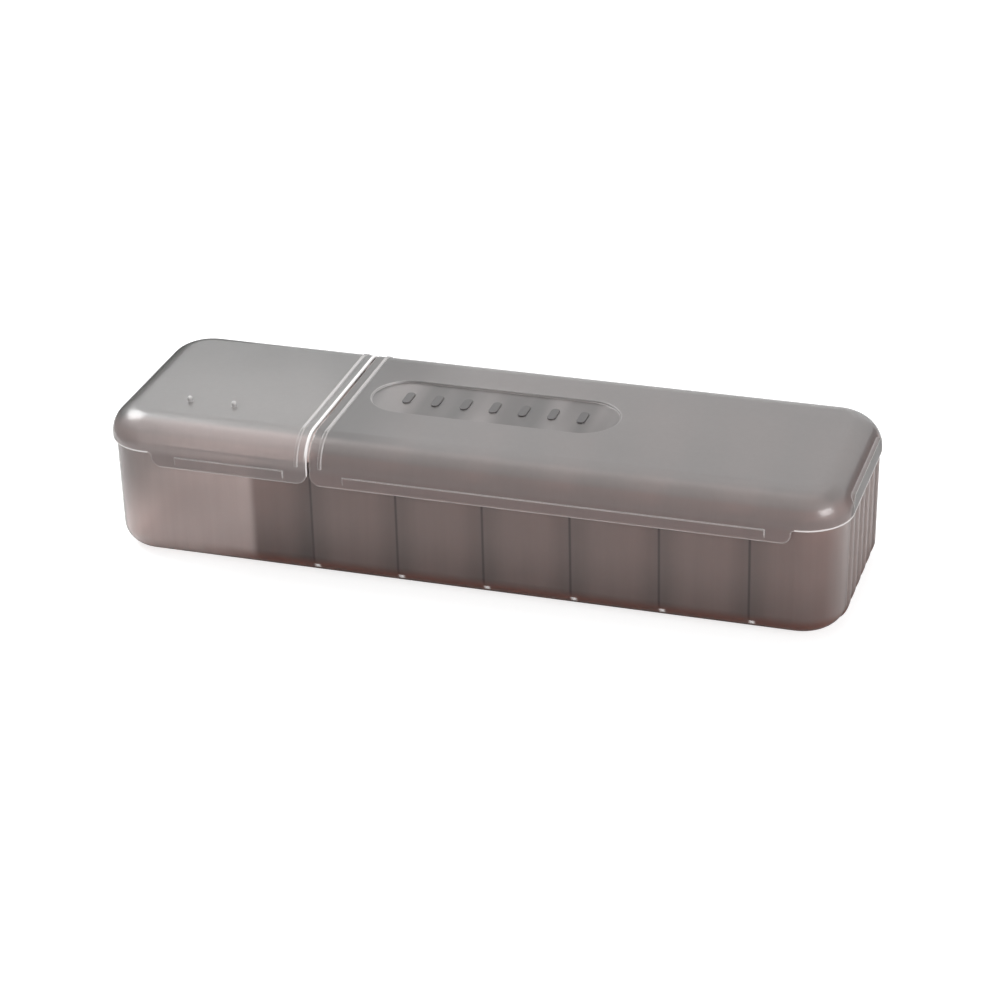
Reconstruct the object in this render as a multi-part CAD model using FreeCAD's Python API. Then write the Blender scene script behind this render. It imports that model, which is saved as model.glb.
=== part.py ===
import FreeCAD, Part
import math
import os

from FreeCAD import Vector

# A long storage box of thin smoky plastic: one tray with seven bays and two lids hinged along its back edge.
# Lengths are in millimetres. X runs along the box, Y from front to back, Z up, origin at the middle of the base.

# Bays of the tray, measured inside at the rim
long_bay_length = 76.5
short_bay_pitch = 31.6
end_bay_length = 29.1
divider_count = 6
divider_thickness = 1.2
bay_depth = 77.4

# Walls of the tray
tray_wall = 1.4
tray_floor = 1.6
tray_rim_height = 44.8
tray_taper = 0.5
tray_corner_radius = 15.8
base_roll_radius = 8.0
rim_round = 0.4

# Lids
lid_wall = 0.9
lid_clearance = 0.35
lid_headroom = 9.5
lid_overlap = 2.8
lid_roll_radius = 10.8
lid_edge_round = 0.35
flap_drop = 5.1
small_flap_end_inset = 20.2
large_flap_end_inset = 18.1
flap_corner_radius = 3.7
small_flap_seam_radius = 4.7
flap_neck_radius = 1.0
seam_gap = 0.9
seam_bead_inset = 3.95
seam_bead_width = 1.1
seam_bead_rise = 0.35
seam_bead_end_gap = 1.8

# Raised wedge on each flap and raised flat on the outer end of the large lid
wedge_below_skirt = 0.4
wedge_drop = 3.4
wedge_rise = 0.5
wedge_end_margin = 9.1
long_wedge_seam_margin = 12.3
end_flat_length = 7.2
end_flat_corner = 2.0

# Sunk label place on the large lid and rest pips on the small lid
label_length = 91.6
label_depth = 26.8
label_sink = 0.8
label_edge_round = 0.35
label_behind_middle = 2.6
rest_pip_radius = 0.95
rest_pip_rise = 2.0
rest_pip_spacing = 16.9
rest_pip_end_inset = 36.4
rest_pip_front_inset = 20.4

# Guides that hold the dividers, snap bead, end ribs and light pips on the tray
divider_fit = 0.15
divider_below_rim = 0.5
divider_top_round = 2.0
guide_width = 0.9
guide_depth = 1.2
guide_below_rim = 3.0
snap_bead_rise = 0.1
snap_bead_above_flap_edge = 2.4
snap_bead_width = 1.2
snap_bead_end_margin = 14.0
end_rib_count = 6
end_rib_pitch = 8.9
end_rib_radius = 2.2
end_rib_rise = 1.15
end_rib_below_skirt = 0.6
base_pip_radius = 1.3
base_pip_rise = 0.25
base_pip_slope = 32.0
base_pip_shift = 0.9

# Hinge behind the skirt
hinge_pin_radius = 1.0
hinge_bore_clearance = 0.06
hinge_ear_clearance = 0.02
hinge_axis_behind_skirt = 1.9
hinge_axis_below_skirt = 2.6
knuckle_radius = 2.2
knuckle_length = 12.0
ear_thickness = 2.4
ear_gap = 0.3
ear_gusset_drop = 6.5
hinge_end_inset = 28.0
hinge_seam_inset = 16.0
lid_open_angle = 110.0
stop_gap = 0.3
stop_heel_width = 2.2
stop_heel_lead = 0.3

# Small overlap that lets joined shapes of one piece meet inside each other
bite = 0.6

# Sizes that follow from the ones above
bay_length = long_bay_length + (divider_count - 1) * short_bay_pitch + divider_thickness + end_bay_length
skirt_edge_height = tray_rim_height - lid_overlap
flap_edge_height = skirt_edge_height - flap_drop
lid_top_height = tray_rim_height + lid_headroom
wedge_top_height = skirt_edge_height - wedge_below_skirt
end_flat_height = skirt_edge_height + end_flat_length
snap_bead_height = flap_edge_height + snap_bead_above_flap_edge
tray_half_x = bay_length / 2 + tray_wall
tray_half_y = bay_depth / 2 + tray_wall
skirt_inner_x = tray_half_x + lid_clearance
skirt_inner_y = tray_half_y + lid_clearance
skirt_half_x = skirt_inner_x + lid_wall
skirt_half_y = skirt_inner_y + lid_wall
skirt_inner_corner = tray_corner_radius + lid_clearance
skirt_corner = skirt_inner_corner + lid_wall
first_divider_x = -bay_length / 2 + long_bay_length + divider_thickness / 2
divider_places = [first_divider_x + i * short_bay_pitch for i in range(divider_count)]
divider_top = tray_rim_height - divider_below_rim
small_lid_edge = first_divider_x - seam_gap / 2
large_lid_edge = first_divider_x + seam_gap / 2
small_flap_start = -skirt_half_x + small_flap_end_inset
large_flap_end = skirt_half_x - large_flap_end_inset
hinge_y = skirt_half_y + hinge_axis_behind_skirt
hinge_z = skirt_edge_height - hinge_axis_below_skirt
ear_reach = knuckle_length / 2 + ear_gap + ear_thickness
small_lid_hinges = [-skirt_half_x + hinge_end_inset, small_lid_edge - hinge_seam_inset]
large_lid_ends = [large_lid_edge + hinge_seam_inset, skirt_half_x - hinge_end_inset]
large_lid_hinges = [large_lid_ends[0], sum(large_lid_ends) / 2, large_lid_ends[1]]


def round_corner(start, corner, end):
    """Quarter circle from start to end, whose two equal legs meet square at corner."""
    centre = start + end - corner
    return Part.Arc(start, centre + (corner - centre) * math.sqrt(0.5), end).toShape()


def ring(pieces):
    """Closed wire through arcs and single points taken in order, with straight lines between them."""
    edges = []
    for piece, following in zip(pieces, pieces[1:] + pieces[:1]):
        end = piece if isinstance(piece, Vector) else piece.Vertexes[-1].Point
        start = following if isinstance(following, Vector) else following.Vertexes[0].Point
        if piece is not end:
            edges.append(piece)
        edges.append(Part.makeLine(end, start))
    return Part.Wire(edges)


def rounded_outline(half_x, half_y, radius, z):
    """Closed wire at height z: a rectangle about the origin with round corners."""
    corners = []
    for sx, sy in [(1, 1), (-1, 1), (-1, -1), (1, -1)]:
        upright = Vector(sx * half_x, sy * (half_y - radius), z)
        level = Vector(sx * (half_x - radius), sy * half_y, z)
        start, end = (upright, level) if sx * sy > 0 else (level, upright)
        corners.append(round_corner(start, Vector(sx * half_x, sy * half_y, z), end))
    return ring(corners)


def block(x0, x1, y0, y1, z0, z1):
    """Box between two corners."""
    return Part.makeBox(x1 - x0, y1 - y0, z1 - z0, Vector(x0, y0, z0))


def level_edges(shape, z):
    """Edges that lie flat at height z."""
    return [e for e in shape.Edges if abs(e.BoundBox.ZMin - z) < 1e-4 and abs(e.BoundBox.ZMax - z) < 1e-4]


def tub(half_x, half_y, radius, roll, z_floor, z_top):
    """Solid tub form: slightly narrower at its floor, with a rolled bottom edge."""
    narrow = tray_taper * (z_top - z_floor) / tray_rim_height
    floor = rounded_outline(half_x - narrow, half_y - narrow, radius - narrow, z_floor)
    rim = rounded_outline(half_x, half_y, radius, z_top)
    form = Part.makeLoft([floor, rim], True, True)
    return form.makeFillet(roll, level_edges(form, z_floor))


def cap(half_x, half_y, radius, roll, z_low, z_top):
    """Solid cap form: upright sides and a rolled top edge."""
    form = Part.Face(rounded_outline(half_x, half_y, radius, z_low)).extrude(Vector(0, 0, z_top - z_low))
    return form.makeFillet(roll, level_edges(form, z_top))


def side_profile(points, x0, x1):
    """Prism along X of an outline given as (y, z) points."""
    outline = ring([Vector(x0, y, z) for y, z in points])
    return Part.Face(outline).extrude(Vector(x1 - x0, 0, 0))


def one_solid(shape):
    """The single solid of a joined shape."""
    shape = shape.removeSplitter()
    if len(shape.Solids) != 1:
        raise ValueError("expected one solid, found %d" % len(shape.Solids))
    return shape.Solids[0]


def tray_outer_y(z):
    """Distance from the middle plane to the tray's outer back wall at height z."""
    return tray_half_y - tray_taper * (tray_rim_height - z) / tray_rim_height


def inner_form(shrink):
    """Space inside the tray, drawn in by shrink on every wall but not at the floor."""
    return tub(
        tray_half_x - tray_wall - shrink,
        tray_half_y - tray_wall - shrink,
        tray_corner_radius - tray_wall - shrink,
        base_roll_radius - tray_wall,
        tray_floor,
        tray_rim_height,
    )


def guide_ribs():
    """Pairs of slim upright ribs on the front and back walls, one pair for each divider end."""
    reach = tray_half_y
    ribs = []
    offset = divider_thickness / 2 + divider_fit
    top = tray_rim_height - guide_below_rim
    for x in divider_places:
        for side in (-1, 1):
            low = x + offset if side > 0 else x - offset - guide_width
            ribs.append(block(low, low + guide_width, -reach, reach, tray_floor - bite, top))
    strips = ribs[0].fuse(ribs[1:])
    outer = tub(tray_half_x, tray_half_y, tray_corner_radius, base_roll_radius, 0, tray_rim_height)
    ring = outer.cut(inner_form(guide_depth))
    skin = outer.cut(tray_outer_shell_offset())
    return strips.common(ring).cut(skin)


def tray_outer_shell_offset():
    """The tray's outer form drawn in by half a wall, which keeps the ribs from touching the outer skin."""
    half = tray_wall / 2
    return tub(
        tray_half_x - half,
        tray_half_y - half,
        tray_corner_radius - half,
        base_roll_radius - half,
        tray_floor / 2,
        tray_rim_height,
    )


def end_ribs():
    """Upright round-nosed grip ribs on both end walls of the tray."""
    ribs = []
    first = -(end_rib_count - 1) * end_rib_pitch / 2
    top = skirt_edge_height - end_rib_below_skirt
    lean = tray_taper / tray_rim_height
    for end in (-1, 1):
        for i in range(end_rib_count):
            centre_x = tray_half_x + end_rib_rise - end_rib_radius
            foot = centre_x - tray_taper
            y = first + i * end_rib_pitch
            axis = Vector(end * lean, 0, 1)
            rib = Part.makeCylinder(end_rib_radius, top * axis.Length, Vector(end * foot, y, 0), axis)
            ribs.append(rib)
    bars = ribs[0].fuse(ribs[1:])
    keep = tub(
        tray_half_x + end_rib_rise,
        tray_half_y,
        tray_corner_radius,
        base_roll_radius + end_rib_rise,
        0,
        tray_rim_height,
    )
    return bars.common(keep).common(block(-2 * tray_half_x, 2 * tray_half_x, -tray_half_y, tray_half_y, 0, top))


def base_pips():
    """Small round pips low on the rolled front and back base edges, one under each divider end."""
    slope = math.radians(base_pip_slope)
    reach = base_roll_radius + base_pip_rise - base_pip_radius
    y = tray_half_y - tray_taper - base_roll_radius + reach * math.cos(slope)
    z = base_roll_radius - reach * math.sin(slope)
    places = [x + base_pip_shift for x in divider_places]
    return [Part.makeSphere(base_pip_radius, Vector(x, side * y, z)) for x in places for side in (-1, 1)]


def snap_beads():
    """Low beads on the tray's front wall that the two flaps snap over."""
    spans = [
        (small_flap_start + snap_bead_end_margin, small_lid_edge - snap_bead_end_margin),
        (large_lid_edge + snap_bead_end_margin, large_flap_end - snap_bead_end_margin),
    ]
    face = -tray_outer_y(snap_bead_height)
    half = snap_bead_width / 2
    outline = [
        (face + tray_wall / 2, snap_bead_height - half),
        (face, snap_bead_height - half),
        (face - snap_bead_rise, snap_bead_height),
        (face, snap_bead_height + half),
        (face + tray_wall / 2, snap_bead_height + half),
    ]
    return [side_profile(outline, x0, x1) for x0, x1 in spans]


def hinge_ears():
    """Pairs of ears on the tray's back wall, with a bore for the hinge pin."""
    wall = tray_outer_y(hinge_z)
    ears = []
    for x in small_lid_hinges + large_lid_hinges:
        for side in (-1, 1):
            inner = x + side * (knuckle_length / 2 + ear_gap)
            x0 = min(inner, inner + side * ear_thickness)
            web = side_profile(
                [
                    (wall - bite, hinge_z + knuckle_radius * 0.9),
                    (hinge_y, hinge_z + knuckle_radius),
                    (hinge_y, hinge_z - knuckle_radius),
                    (wall - bite, hinge_z - ear_gusset_drop),
                ],
                x0,
                x0 + ear_thickness,
            )
            barrel = Part.makeCylinder(knuckle_radius, ear_thickness, Vector(x0, hinge_y, hinge_z), Vector(1, 0, 0))
            ears.append(web.fuse(barrel))
    return ears


def hinge_bores(radius):
    """Cylinders along the hinge axis through every hinge station."""
    length = 2 * ear_reach + 2 * bite
    return [
        Part.makeCylinder(radius, length, Vector(x - length / 2, hinge_y, hinge_z), Vector(1, 0, 0))
        for x in small_lid_hinges + large_lid_hinges
    ]


def make_tray():
    """The tub with its guide ribs, end ribs, snap beads, base pips and hinge ears."""
    outer = tub(tray_half_x, tray_half_y, tray_corner_radius, base_roll_radius, 0, tray_rim_height)
    shell = outer.fuse(end_ribs()).cut(inner_form(0))
    shell = shell.makeFillet(rim_round, level_edges(shell, tray_rim_height))
    shell = shell.fuse(guide_ribs())
    lens = [pip.cut(inner_form(-tray_wall / 2)) for pip in base_pips()]
    shell = shell.fuse(lens + snap_beads() + hinge_ears())
    shell = shell.cut(Part.makeCompound(hinge_bores(hinge_pin_radius + hinge_ear_clearance)))
    return one_solid(shell)


def make_divider(x):
    """A flat plate that fills the tray's inner section, with play at its edges, standing on the floor."""
    plate = block(
        x - divider_thickness / 2,
        x + divider_thickness / 2,
        -tray_half_y,
        tray_half_y,
        tray_floor,
        divider_top,
    )
    plate = plate.common(inner_form(divider_fit))
    corners = [e for e in level_edges(plate, divider_top) if e.BoundBox.YLength < 1e-4]
    return one_solid(plate.makeFillet(divider_top_round, corners))


def lid_form(low):
    """Outer form of the two lids together, down to the height low."""
    return cap(skirt_half_x, skirt_half_y, skirt_corner, lid_roll_radius, low, lid_top_height)


def lid_hollow(low):
    """The space under the lids, down to the height low."""
    roll = lid_roll_radius - lid_wall
    return cap(skirt_inner_x, skirt_inner_y, skirt_inner_corner, roll, low, lid_top_height - lid_wall)


def flap_window(outer, seam, seam_radius):
    """Prism that keeps the stretch of the front skirt which hangs lower, from its outer end to the seam."""
    way = 1 if seam > outer else -1
    skirt = skirt_edge_height
    low = flap_edge_height
    high = skirt + bite

    def at(x, z):
        return Vector(x, -skirt_half_y - bite, z)

    neck_start = outer - way * flap_neck_radius
    neck = round_corner(at(neck_start, skirt), at(outer, skirt), at(outer, skirt - flap_neck_radius))
    corner = round_corner(
        at(outer, low + flap_corner_radius),
        at(outer, low),
        at(outer + way * flap_corner_radius, low),
    )
    seam_corner = round_corner(at(seam - way * seam_radius, low), at(seam, low), at(seam, low + seam_radius))
    outline = ring([neck, corner, seam_corner, at(seam, high), at(neck_start, high)])
    return Part.Face(outline).extrude(Vector(0, skirt_half_y, 0))


def lies_on(skin, points):
    """True if all the points lie on a skin."""
    return all(skin.distToShape(Part.Vertex(point))[0] < 1e-4 for point in points)


def outer_cut_edges(lid, outside, inside):
    """Edges where the cut faces of a lid meet its outer skin."""
    edges = {}
    for face in lid.Faces:
        corners = [vertex.Point for vertex in face.Vertexes]
        if lies_on(outside, corners) or lies_on(inside, corners):
            continue
        for edge in face.Edges:
            middle = edge.valueAt((edge.FirstParameter + edge.LastParameter) / 2)
            if lies_on(outside, [middle]):
                edges[edge.hashCode()] = edge
    return list(edges.values())


def trimmed_lid(x0, x1, flap):
    """Hollow lid from x0 to x1, cut to its skirt edge except at the flap, with its outer edges rounded."""
    outer = lid_form(flap_edge_height - bite)
    hollow = lid_hollow(flap_edge_height - 2 * bite)
    reach = 2 * skirt_half_y
    keep = block(x0, x1, -reach, reach, skirt_edge_height, lid_top_height + bite).fuse(flap)
    lid = outer.cut(hollow).common(keep)
    return lid.makeFillet(lid_edge_round, outer_cut_edges(lid, outer.Shells[0], hollow.Shells[0]))


def seam_bead(x):
    """Raised bead that follows the lid from its back edge over the top and down the front."""
    low = skirt_edge_height + seam_bead_end_gap
    grown = cap(
        skirt_half_x + seam_bead_rise,
        skirt_half_y + seam_bead_rise,
        skirt_corner + seam_bead_rise,
        lid_roll_radius + seam_bead_rise,
        flap_edge_height,
        lid_top_height + seam_bead_rise,
    )
    half = seam_bead_width / 2
    strip = block(x - half, x + half, -2 * skirt_half_y, 2 * skirt_half_y, low, 2 * lid_top_height)
    return grown.common(strip).cut(lid_hollow(flap_edge_height - bite))


def flap_wedge(x0, x1):
    """Raised wedge on a flap: a ledge at its top that runs out to nothing below."""
    face = -skirt_half_y
    outline = [
        (face + lid_wall / 2, wedge_top_height),
        (face - wedge_rise, wedge_top_height),
        (face, wedge_top_height - wedge_drop),
        (face + lid_wall / 2, wedge_top_height - wedge_drop),
    ]
    return side_profile(outline, x0, x1)


def end_flat():
    """Upright flat that carries the skirt of the large lid straight up its rolled end, between the corners."""
    half = skirt_half_y - skirt_corner
    foot = skirt_edge_height + lid_edge_round
    flat = block(skirt_inner_x - bite, skirt_half_x, -half, half, foot, end_flat_height)
    corners = [e for e in level_edges(flat, end_flat_height) if e.BoundBox.YLength < 1e-4]
    return flat.makeFillet(end_flat_corner, corners).cut(lid_hollow(flap_edge_height - bite))


def hinge_knuckle(x):
    """Barrel on the lid's back edge with the web that carries it and the heel that stops it."""
    half = knuckle_length / 2
    web = side_profile(
        [
            (skirt_inner_y, hinge_z),
            (skirt_inner_y, skirt_edge_height + bite),
            (skirt_half_y, skirt_edge_height + bite),
            (hinge_y, hinge_z + knuckle_radius),
            (hinge_y, hinge_z),
        ],
        x - half,
        x + half,
    )
    barrel = Part.makeCylinder(knuckle_radius, knuckle_length, Vector(x - half, hinge_y, hinge_z), Vector(1, 0, 0))
    reach = hinge_y - tray_outer_y(hinge_z) - stop_gap
    heel = block(
        x - half,
        x + half,
        hinge_y - reach,
        hinge_y,
        hinge_z - stop_heel_width,
        hinge_z + stop_heel_lead,
    )
    heel.rotate(Vector(x, hinge_y, hinge_z), Vector(1, 0, 0), lid_open_angle)
    return web.fuse([barrel, heel])


def label_place():
    """The sunk label place as a solid to cut away, with a rounded foot."""
    floor = lid_top_height - label_sink
    place = stadium(label_length, label_depth, floor, label_sink + bite)
    return place.makeFillet(label_edge_round, level_edges(place, floor))


def label_rim(lid):
    """Edges of the lid's top face around the sunk label place."""
    reach_x = label_length / 2 + bite
    reach_y = label_depth / 2 + bite
    rim = []
    for edge in level_edges(lid, lid_top_height):
        box = edge.BoundBox
        near_x = abs(box.XMin) < reach_x and abs(box.XMax) < reach_x
        near_y = abs(box.YMin - label_behind_middle) < reach_y and abs(box.YMax - label_behind_middle) < reach_y
        if near_x and near_y:
            rim.append(edge)
    return rim


def stadium(length, depth, z, height):
    """Upright stadium prism centred on the label place."""
    radius = depth / 2
    straight = length / 2 - radius
    y = label_behind_middle
    right = Part.Arc(
        Vector(straight, y - radius, z),
        Vector(straight + radius, y, z),
        Vector(straight, y + radius, z),
    )
    left = Part.Arc(
        Vector(-straight, y + radius, z),
        Vector(-straight - radius, y, z),
        Vector(-straight, y - radius, z),
    )
    return Part.Face(ring([right.toShape(), left.toShape()])).extrude(Vector(0, 0, height))


def make_small_lid():
    """Short lid with its flap, seam bead, rest pips and knuckles."""
    outer_end = -skirt_half_x
    flap = flap_window(small_flap_start, small_lid_edge, small_flap_seam_radius)
    lid = trimmed_lid(2 * outer_end, small_lid_edge, flap)
    parts = [
        seam_bead(small_lid_edge - seam_bead_inset),
        flap_wedge(small_flap_start + wedge_end_margin, small_lid_edge - wedge_end_margin),
    ]
    middle = outer_end + rest_pip_end_inset
    for side in (-1, 1):
        foot = Vector(middle + side * rest_pip_spacing / 2, rest_pip_front_inset - skirt_half_y, lid_top_height - bite)
        stem = rest_pip_rise - rest_pip_radius + bite
        parts.append(Part.makeCylinder(rest_pip_radius, stem, foot))
        parts.append(Part.makeSphere(rest_pip_radius, foot + Vector(0, 0, stem)))
    parts += [hinge_knuckle(x) for x in small_lid_hinges]
    lid = lid.fuse(parts).cut(Part.makeCompound(hinge_bores(hinge_pin_radius + hinge_bore_clearance)))
    return one_solid(lid)


def make_large_lid():
    """Long lid with its flap, seam bead, end flat, sunk label place and knuckles."""
    flap = flap_window(large_flap_end, large_lid_edge, flap_corner_radius)
    lid = trimmed_lid(large_lid_edge, 2 * skirt_half_x, flap)
    backing = stadium(
        label_length + 2 * lid_wall,
        label_depth + 2 * lid_wall,
        lid_top_height - label_sink - lid_wall,
        label_sink + bite,
    )
    parts = [
        backing,
        seam_bead(large_lid_edge + seam_bead_inset),
        flap_wedge(large_lid_edge + long_wedge_seam_margin, large_flap_end - wedge_end_margin),
        end_flat(),
    ]
    parts += [hinge_knuckle(x) for x in large_lid_hinges]
    lid = lid.fuse(parts).cut(label_place())
    lid = lid.makeFillet(label_edge_round, label_rim(lid))
    lid = lid.cut(Part.makeCompound(hinge_bores(hinge_pin_radius + hinge_bore_clearance)))
    return one_solid(lid)


def make_pin(x):
    """Hinge pin, flush with the outer faces of its two ears."""
    return Part.makeCylinder(hinge_pin_radius, 2 * ear_reach, Vector(x - ear_reach, hinge_y, hinge_z), Vector(1, 0, 0))


pieces = {"tray": make_tray(), "small_lid": make_small_lid(), "large_lid": make_large_lid()}
for number, place in enumerate(divider_places, 1):
    pieces["divider_%d" % number] = make_divider(place)
for side, place in zip(("left", "right"), small_lid_hinges):
    pieces["small_lid_pin_" + side] = make_pin(place)
for side, place in zip(("left", "middle", "right"), large_lid_hinges):
    pieces["large_lid_pin_" + side] = make_pin(place)

os.makedirs("parts", exist_ok=True)
for name, shape in pieces.items():
    shape.exportStep(os.path.join("parts", name + ".step"))
    box = shape.BoundBox
    print("%-24s %s %8.2f cm3  %.2f x %.2f x %.2f" % (
        name, shape.isValid(), shape.Volume / 1000, box.XLength, box.YLength, box.ZLength))
print("overall %.2f x %.2f, hinge axis y %.3f z %.3f" % (2 * skirt_half_x, 2 * skirt_half_y, hinge_y, hinge_z))
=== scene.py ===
# %% [markdown]
# A smoky cable organizer box is a long tray with seven bays, closed by a short lid and a long lid that
# hinge at the back. Everything is moulded from one smoky, slightly frosted clear plastic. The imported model
# already holds every piece at its real size, so this lesson is about light and finish: how clear plastic
# is built from a few plain numbers, and how a white studio makes it readable.

import math

import bpy
from mathutils import Matrix, Vector


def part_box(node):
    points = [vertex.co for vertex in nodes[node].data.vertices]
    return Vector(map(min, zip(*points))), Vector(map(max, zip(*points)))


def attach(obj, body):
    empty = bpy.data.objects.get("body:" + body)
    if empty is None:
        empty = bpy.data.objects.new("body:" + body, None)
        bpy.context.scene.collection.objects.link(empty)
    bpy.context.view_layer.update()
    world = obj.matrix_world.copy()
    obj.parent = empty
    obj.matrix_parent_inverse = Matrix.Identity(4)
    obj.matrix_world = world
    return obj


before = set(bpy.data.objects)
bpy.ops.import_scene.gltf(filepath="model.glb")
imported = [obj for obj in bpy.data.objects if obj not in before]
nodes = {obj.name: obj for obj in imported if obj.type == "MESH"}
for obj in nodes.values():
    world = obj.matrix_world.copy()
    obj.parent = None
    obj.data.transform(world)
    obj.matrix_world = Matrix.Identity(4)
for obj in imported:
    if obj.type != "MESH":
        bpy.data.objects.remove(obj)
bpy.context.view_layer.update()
print("pieces:", ", ".join(sorted(nodes)))

# %% [markdown]
# The script works in metres, but a box of this size is easier to think of in millimetres, so one small
# factor turns one into the other. The places of the tray's ends, the lids and the dividers could be typed
# in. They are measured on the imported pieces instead, so that they follow when the box changes its size.

# %% Units and places
MM = 0.001
tray_low, tray_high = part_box("tray")
long_lid_low, long_lid_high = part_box("large_lid")
short_lid_low, short_lid_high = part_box("small_lid")
divider_low, divider_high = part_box("divider_1")
next_divider_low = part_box("divider_2")[0]
last_divider_low, last_divider_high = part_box("divider_6")
first_divider = (divider_low.x + divider_high.x) / 2
last_divider = (last_divider_low.x + last_divider_high.x) / 2
divider_pitch = next_divider_low.x - divider_low.x
BEAD_RISE = 0.35 * MM
SKIRT_DROP = 12.3 * MM
FLAP_DROP = 5.1 * MM
lid_top = long_lid_high.z - BEAD_RISE
skirt_edge = lid_top - SKIRT_DROP
flap_edge = skirt_edge - FLAP_DROP
print("seam between the lids in mm:", [round(x / MM, 2) for x in (short_lid_high.x, long_lid_low.x)])
print("lid top, skirt and flap edge in mm:", [round(z / MM, 2) for z in (lid_top, skirt_edge, flap_edge)])

# %% [markdown]
# The box is seen from the front, a little to the right and above, through a long lens. A long lens stands
# far away, so the box looks almost as it would in a drawing, with little perspective. The camera could be
# turned by hand until it fits. Here it is placed by what it looks at, how far away it stands, and three
# angles, because each of them changes one thing only.

# %% Camera
LENS_LENGTH = 108.45
CAMERA_REACH = 20.0
CAMERA_DISTANCE = 1.0808
CAMERA_TURN = 17.729
CAMERA_RISE = 27.031
CAMERA_ROLL = -1.280
CAMERA_AIM = Vector((2.83, -2.95, 19.96)) * MM


def add_object(name, data):
    """A new object in the scene, with its mesh, lamp or camera."""
    thing = bpy.data.objects.new(name, data)
    bpy.context.scene.collection.objects.link(thing)
    return thing


def direction(turn, rise):
    """The way out from the box: degrees from the front towards the right, and degrees up."""
    turn, rise = math.radians(turn), math.radians(rise)
    return Vector((math.sin(turn) * math.cos(rise), -math.cos(turn) * math.cos(rise), math.sin(rise)))


camera_data = bpy.data.cameras.new("product_camera")
camera_data.lens = LENS_LENGTH
camera_data.clip_end = CAMERA_REACH
camera = add_object("product_camera", camera_data)
away = direction(CAMERA_TURN, CAMERA_RISE)
level = (-away).to_track_quat("-Z", "Y").to_matrix()
rolled = level @ Matrix.Rotation(math.radians(CAMERA_ROLL), 3, "Z")
camera.matrix_world = Matrix.Translation(CAMERA_AIM + away * CAMERA_DISTANCE) @ rolled.to_4x4()
bpy.context.scene.camera = camera
print("camera stands at", [round(c, 3) for c in camera.matrix_world.translation])


# %% [markdown]
# A finish in Blender is a tree of nodes. It can be drawn by hand in the shader editor. Here it is made in
# code, because each step is then one readable line, and every piece can use it again. Two small functions
# make a node and an empty material.

# %% Nodes and materials
def make_node(tree, kind, values=None, **settings):
    """One node with its settings and its unlinked values."""
    node = tree.nodes.new(kind)
    for key, value in settings.items():
        setattr(node, key, value)
    for socket, value in (values or {}).items():
        node.inputs[socket].default_value = value
    return node


def fresh_material(name):
    """An empty material with its output node."""
    material = bpy.data.materials.new(name)
    material.use_nodes = True
    tree = material.node_tree
    tree.nodes.clear()
    output = tree.nodes.new("ShaderNodeOutputMaterial")
    print("material:", name)
    return material, tree, output


print("materials before the first finish:", len(bpy.data.materials))


# %% [markdown]
# A mask is a number between 0 and 1 that says how much of a finish a place gets. Painted masks would need
# a picture for each piece. The masks here come from numbers instead: a place runs over a span, and the
# mask grows from 0 where the span starts to 1 where it is full. The first helper gives soft ends, as tints
# have. The second runs straight between any two numbers.

# %% Spans
def ramp_between(tree, value, start, full):
    """A mask that is 0 at the start and 1 where it is full, with soft ends."""
    settings = {"From Min": start, "From Max": full}
    node = make_node(tree, "ShaderNodeMapRange", settings, interpolation_type="SMOOTHSTEP")
    tree.links.new(value, node.inputs["Value"])
    return node.outputs["Result"]


def spread_over(tree, value, span, first, last):
    """A number that runs straight from the first to the last while the value runs over the span."""
    settings = {"From Min": span[0], "From Max": span[1], "To Min": first, "To Max": last}
    node = make_node(tree, "ShaderNodeMapRange", settings)
    tree.links.new(value, node.inputs["Value"])
    return node.outputs["Result"]


print("span helpers:", ramp_between.__name__, spread_over.__name__)

# %% [markdown]
# Edges catch the light, because a mould never leaves them sharp. Real chamfers on every rim would cost
# many faces. A Bevel node rounds the shading only. On a plain wall the rounded normal agrees with the true
# one and their product is 1. On an edge it falls below 1, so the same node also says where the edges are.
# That mask also paints the edges pale in the plastic, as a painted highlight.

# %% Edges that catch the light
EDGE_RADIUS = 0.6 * MM
EDGE_SAMPLES = 4
EDGE_SPAN = (0.997, 0.90)


def edge_finder(tree):
    """The rounded normal, and a mask that is 1 on edges and 0 on plain walls."""
    rounded = make_node(tree, "ShaderNodeBevel", {"Radius": EDGE_RADIUS}, samples=EDGE_SAMPLES)
    plain = make_node(tree, "ShaderNodeNewGeometry")
    match = make_node(tree, "ShaderNodeVectorMath", operation="DOT_PRODUCT")
    tree.links.new(rounded.outputs["Normal"], match.inputs[0])
    tree.links.new(plain.outputs["Normal"], match.inputs[1])
    return rounded.outputs["Normal"], ramp_between(tree, match.outputs["Value"], *EDGE_SPAN)


print("edges are rounded over", EDGE_RADIUS / MM, "mm")

# %% [markdown]
# Light that meets a wall at a flat slant has a longer way through the plastic, so the wall looks darker
# there. A volume inside the walls would do this by itself, but it renders slowly. Layer Weight tells how
# flat the slant is, and a darker tint stands for the longer way.

# %% Slanted walls
SLANT_BLEND = 0.5
SLANT_SPAN = (0.66, 0.95)


def slant(tree):
    """1 where the wall is seen at a flat slant."""
    facing = make_node(tree, "ShaderNodeLayerWeight", {"Blend": SLANT_BLEND})
    return ramp_between(tree, facing.outputs["Facing"], *SLANT_SPAN)


print("walls get darker from a slant of", SLANT_SPAN[0], "to", SLANT_SPAN[1])


# %% [markdown]
# A moulded skin is never perfectly even. A picture of such a skin could be laid over the piece, but it
# would repeat. Noise never repeats, and it takes its place from the piece itself. Three helpers stretch a
# pattern, make it, and bend the shading by it.

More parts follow.
